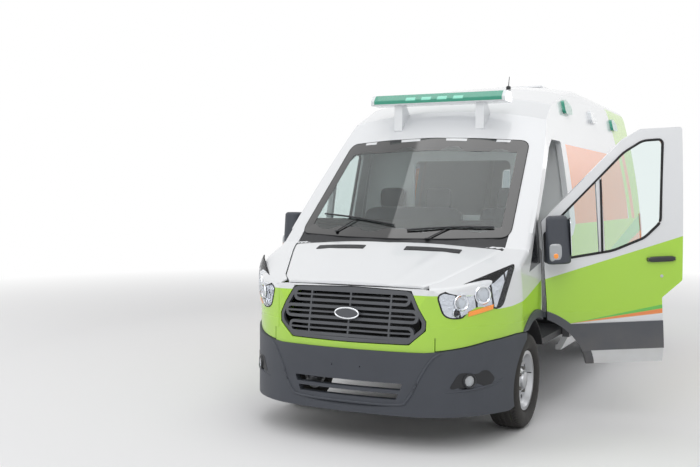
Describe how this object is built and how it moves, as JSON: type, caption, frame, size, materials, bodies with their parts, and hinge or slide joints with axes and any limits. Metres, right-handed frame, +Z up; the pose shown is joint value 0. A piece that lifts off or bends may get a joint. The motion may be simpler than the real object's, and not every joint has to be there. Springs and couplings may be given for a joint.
{
  "type": "ambulance",
  "caption": "High-roof van ambulance with its driver's door open, hollow cab and patient space, turning wheels, steering, hinged doors and bonnet.",
  "frame": {"origin": "middle of the stretcher lock's bolt pattern, on the load floor, on the centreline", "axes": "the front faces -Y, +Y runs to the rear doors, +X is the vehicle's left, +Z is up"},
  "size_m": [3.1761, 5.995, 2.8589],
  "materials": {
    "body_white": "gloss",
    "grey_trim": "satin",
    "dark_metal": "satin",
    "glass": "clear",
    "lamp_clear": "clear",
    "lamp_red": "gloss",
    "lamp_green": "gloss",
    "rubber": "matt",
    "steel_wheel": "silver paint",
    "bare_steel": "rough",
    "cloth": "woven",
    "cab_plastic": "grained",
    "floor_vinyl": "satin",
    "cabinet_laminate": "satin"
  },
  "bodies": {
    "body": {"attendant_bench": "cloth", "bulkhead": "cabinet_laminate", "cab_floor": "dark_metal", "cab_frame": "body_white", "chassis_frame": "dark_metal", "dashboard": "cab_plastic", "driver_seat": "cloth", "engine": "bare_steel", "front_bumper": "grey_trim", "front_lamps": "lamp_clear", "front_panel": "body_white", "front_subframe": "bare_steel", "fuel_tank": "dark_metal", "grille": "grey_trim", "high_roof": "body_white", "left_side": "body_white", "left_wing": "body_white", "light_bar": "lamp_green", "load_floor": "floor_vinyl", "passenger_bench": "cloth", "patient_cabinet": "cabinet_laminate", "radiator": "dark_metal", "rear_axle": "bare_steel", "rear_step": "grey_trim", "right_side": "body_white", "right_wing": "body_white", "roof_vent": "body_white", "side_lamps": "lamp_green", "sliding_door": "body_white", "sliding_door_glass": "glass", "tail_lamps": "lamp_red", "windscreen": "glass"},
    "left_knuckle": {"left_knuckle": "bare_steel"},
    "right_knuckle": {"right_knuckle": "bare_steel"},
    "front_left_wheel": {"front_left_wheel": "steel_wheel", "front_left_tyre": "rubber"},
    "front_right_wheel": {"front_right_wheel": "steel_wheel", "front_right_tyre": "rubber"},
    "rear_left_wheel": {"rear_left_wheel": "steel_wheel", "rear_left_tyre": "rubber"},
    "rear_right_wheel": {"rear_right_wheel": "steel_wheel", "rear_right_tyre": "rubber"},
    "left_front_door": {"left_front_door": "body_white", "left_front_glass": "glass", "left_mirror": "grey_trim"},
    "right_front_door": {"right_front_door": "body_white", "right_front_glass": "glass", "right_mirror": "grey_trim"},
    "left_rear_door": {"left_rear_door": "body_white", "left_rear_glass": "glass"},
    "right_rear_door": {"right_rear_door": "body_white", "right_rear_glass": "glass"},
    "bonnet": {"bonnet": "body_white"},
    "steering_wheel": {"steering_wheel": "cab_plastic"}
  },
  "joints": [
    {"name": "steer_left", "type": "hinge", "parent": "body", "child": "left_knuckle", "pos_m": [0.8, -3.077, -0.354], "axis": [0, 0, 1], "range_deg": [-32, 32]},
    {"name": "steer_right", "type": "hinge", "parent": "body", "child": "right_knuckle", "pos_m": [-0.8, -3.077, -0.354], "axis": [0, 0, 1], "range_deg": [-32, 32]},
    {"name": "steering_wheel_turn", "type": "hinge", "parent": "body", "child": "steering_wheel", "pos_m": [0.47, -2.51, 0.63], "axis": [0, 0.5736, 0.8192], "range_deg": [-448, 448]},
    {"name": "front_left_wheel_spin", "type": "hinge", "parent": "left_knuckle", "child": "front_left_wheel", "pos_m": [0.866, -3.077, -0.354], "axis": [1, 0, 0], "continuous": true},
    {"name": "front_right_wheel_spin", "type": "hinge", "parent": "right_knuckle", "child": "front_right_wheel", "pos_m": [-0.866, -3.077, -0.354], "axis": [1, 0, 0], "continuous": true},
    {"name": "rear_left_wheel_spin", "type": "hinge", "parent": "body", "child": "rear_left_wheel", "pos_m": [0.866, 0.673, -0.354], "axis": [1, 0, 0], "continuous": true},
    {"name": "rear_right_wheel_spin", "type": "hinge", "parent": "body", "child": "rear_right_wheel", "pos_m": [-0.866, 0.673, -0.354], "axis": [1, 0, 0], "continuous": true},
    {"name": "left_front_door_hinge", "type": "hinge", "parent": "body", "child": "left_front_door", "pos_m": [1.05, -2.925, 0.05], "axis": [-0.061, 0, 0.9981], "range_deg": [-2, 68]},
    {"name": "right_front_door_hinge", "type": "hinge", "parent": "body", "child": "right_front_door", "pos_m": [-1.05, -2.925, 0.05], "axis": [0.061, 0, 0.9981], "range_deg": [0, 70]},
    {"name": "left_rear_door_hinge", "type": "hinge", "parent": "body", "child": "left_rear_door", "pos_m": [0.866, 1.814, 0.7], "axis": [0, 0, -1], "range_deg": [0, 180]},
    {"name": "right_rear_door_hinge", "type": "hinge", "parent": "body", "child": "right_rear_door", "pos_m": [-0.866, 1.814, 0.7], "axis": [0, 0, 1], "range_deg": [0, 180]},
    {"name": "bonnet_hinge", "type": "hinge", "parent": "body", "child": "bonnet", "pos_m": [0, -3.2, 0.6], "axis": [-1, 0, 0], "range_deg": [0, 55]}
  ],
  "couplings": [
    {"joint": "steer_right", "follows": "steer_left", "ratio": 1},
    {"joint": "steering_wheel_turn", "follows": "steer_left", "ratio": 14}
  ]
}
